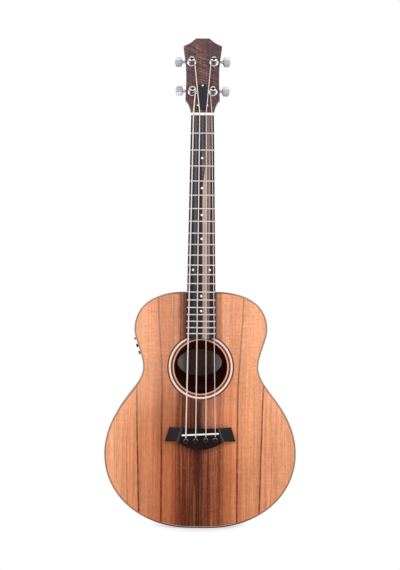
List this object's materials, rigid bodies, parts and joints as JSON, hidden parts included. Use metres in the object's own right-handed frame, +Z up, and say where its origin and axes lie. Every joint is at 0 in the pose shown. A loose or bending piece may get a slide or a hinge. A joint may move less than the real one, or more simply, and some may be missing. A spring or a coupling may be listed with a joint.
{
  "type": "acoustic bass guitar",
  "caption": "Acoustic bass guitar: waisted hollow body with a round sound hole, fretted neck, tilted headstock with geared tuners, pinned bridge and side controls.",
  "frame": {"origin": "middle of the flat end of the tail, on the outer face of the end graft", "axes": "+Z up the neck towards the headstock, -Y out of the front, +X towards the treble side"},
  "size_m": [0.36, 0.1217, 0.9272],
  "materials": {
    "koa": "clear gloss over striped figured wood",
    "dark_wood": "satin, open grain",
    "neck_wood": "satin",
    "spruce": "bare, planed",
    "ebony": "oiled, nearly black",
    "binding": "polished",
    "shell": "polished, pearly",
    "bone": "polished",
    "chrome": "polished",
    "steel": "bare",
    "bronze": "wound wire",
    "black_plastic": "smooth"
  },
  "bodies": {
    "guitar": {"soundboard": "koa", "rosette": "shell", "back_plate": "koa", "side_bass": "koa", "side_treble": "koa", "end_graft": "ebony", "front_binding": "binding", "back_binding": "binding", "neck_block": "spruce", "tail_block": "spruce", "front_lining": "spruce", "back_lining": "spruce", "cross_brace_over": "spruce", "cross_brace_under": "spruce", "transverse_brace": "spruce", "tone_bar": "spruce", "bridge_plate": "dark_wood", "back_brace_1": "spruce", "back_brace_2": "spruce", "neck": "neck_wood", "truss_rod": "steel", "fretboard": "ebony", "nut": "bone", "headstock_overlay": "dark_wood", "truss_rod_cover": "black_plastic", "bridge": "ebony", "saddle": "bone", "bridge_pin_1": "ebony", "string_1": "bronze", "tuner_bushing_1": "chrome", "tuner_housing_1": "chrome", "bridge_pin_2": "ebony", "string_2": "bronze", "tuner_bushing_2": "chrome", "tuner_housing_2": "chrome", "bridge_pin_3": "ebony", "string_3": "bronze", "tuner_bushing_3": "chrome", "tuner_housing_3": "chrome", "bridge_pin_4": "ebony", "string_4": "bronze", "tuner_bushing_4": "chrome", "tuner_housing_4": "chrome", "preamp_panel": "black_plastic", "output_jack": "black_plastic"},
    "post_1": {"tuner_post_1": "chrome", "string_winding_1": "bronze"},
    "button_1": {"tuner_button_1": "chrome"},
    "post_2": {"tuner_post_2": "chrome", "string_winding_2": "bronze"},
    "button_2": {"tuner_button_2": "chrome"},
    "post_3": {"tuner_post_3": "chrome", "string_winding_3": "bronze"},
    "button_3": {"tuner_button_3": "chrome"},
    "post_4": {"tuner_post_4": "chrome", "string_winding_4": "bronze"},
    "button_4": {"tuner_button_4": "chrome"},
    "tuner_switch": {"tuner_switch": "black_plastic"},
    "volume_knob": {"volume_knob": "black_plastic"},
    "tone_knob": {"tone_knob": "black_plastic"}
  },
  "joints": [
    {"name": "button_1_turn", "type": "hinge", "parent": "guitar", "child": "button_1", "pos_m": [-0.0193, -0.01882, 0.82464], "axis": [-1, 0, 0], "continuous": true},
    {"name": "post_1_turn", "type": "hinge", "parent": "guitar", "child": "post_1", "pos_m": [-0.0193, -0.04113, 0.81944], "axis": [0, -0.9659, 0.2588], "continuous": true},
    {"name": "button_2_turn", "type": "hinge", "parent": "guitar", "child": "button_2", "pos_m": [-0.0211, -0.00319, 0.88298], "axis": [-1, 0, 0], "continuous": true},
    {"name": "post_2_turn", "type": "hinge", "parent": "guitar", "child": "post_2", "pos_m": [-0.0211, -0.0255, 0.87778], "axis": [0, -0.9659, 0.2588], "continuous": true},
    {"name": "button_3_turn", "type": "hinge", "parent": "guitar", "child": "button_3", "pos_m": [0.0211, -0.00319, 0.88298], "axis": [1, 0, 0], "continuous": true},
    {"name": "post_3_turn", "type": "hinge", "parent": "guitar", "child": "post_3", "pos_m": [0.0211, -0.0255, 0.87778], "axis": [0, -0.9659, 0.2588], "continuous": true},
    {"name": "button_4_turn", "type": "hinge", "parent": "guitar", "child": "button_4", "pos_m": [0.0193, -0.01882, 0.82464], "axis": [1, 0, 0], "continuous": true},
    {"name": "post_4_turn", "type": "hinge", "parent": "guitar", "child": "post_4", "pos_m": [0.0193, -0.04113, 0.81944], "axis": [0, -0.9659, 0.2588], "continuous": true},
    {"name": "volume_knob_turn", "type": "hinge", "parent": "guitar", "child": "volume_knob", "pos_m": [-0.11734, -0.01, 0.341], "axis": [-0.9538, 0, -0.3003], "range_deg": [-140, 140]},
    {"name": "tone_knob_turn", "type": "hinge", "parent": "guitar", "child": "tone_knob", "pos_m": [-0.11313, -0.01, 0.32765], "axis": [-0.9538, 0, -0.3003], "range_deg": [-140, 140]},
    {"name": "tuner_switch_press", "type": "slide", "parent": "guitar", "child": "tuner_switch", "axis": [0.9538, 0, 0.3003], "range_m": [0, 0.001], "stiffness_N_per_m": 1500, "springref_m": -0.0005}
  ],
  "couplings": [
    {"joint": "post_1_turn", "follows": "button_1_turn", "ratio": 0.066667},
    {"joint": "post_2_turn", "follows": "button_2_turn", "ratio": 0.066667},
    {"joint": "post_3_turn", "follows": "button_3_turn", "ratio": -0.066667},
    {"joint": "post_4_turn", "follows": "button_4_turn", "ratio": -0.066667}
  ]
}
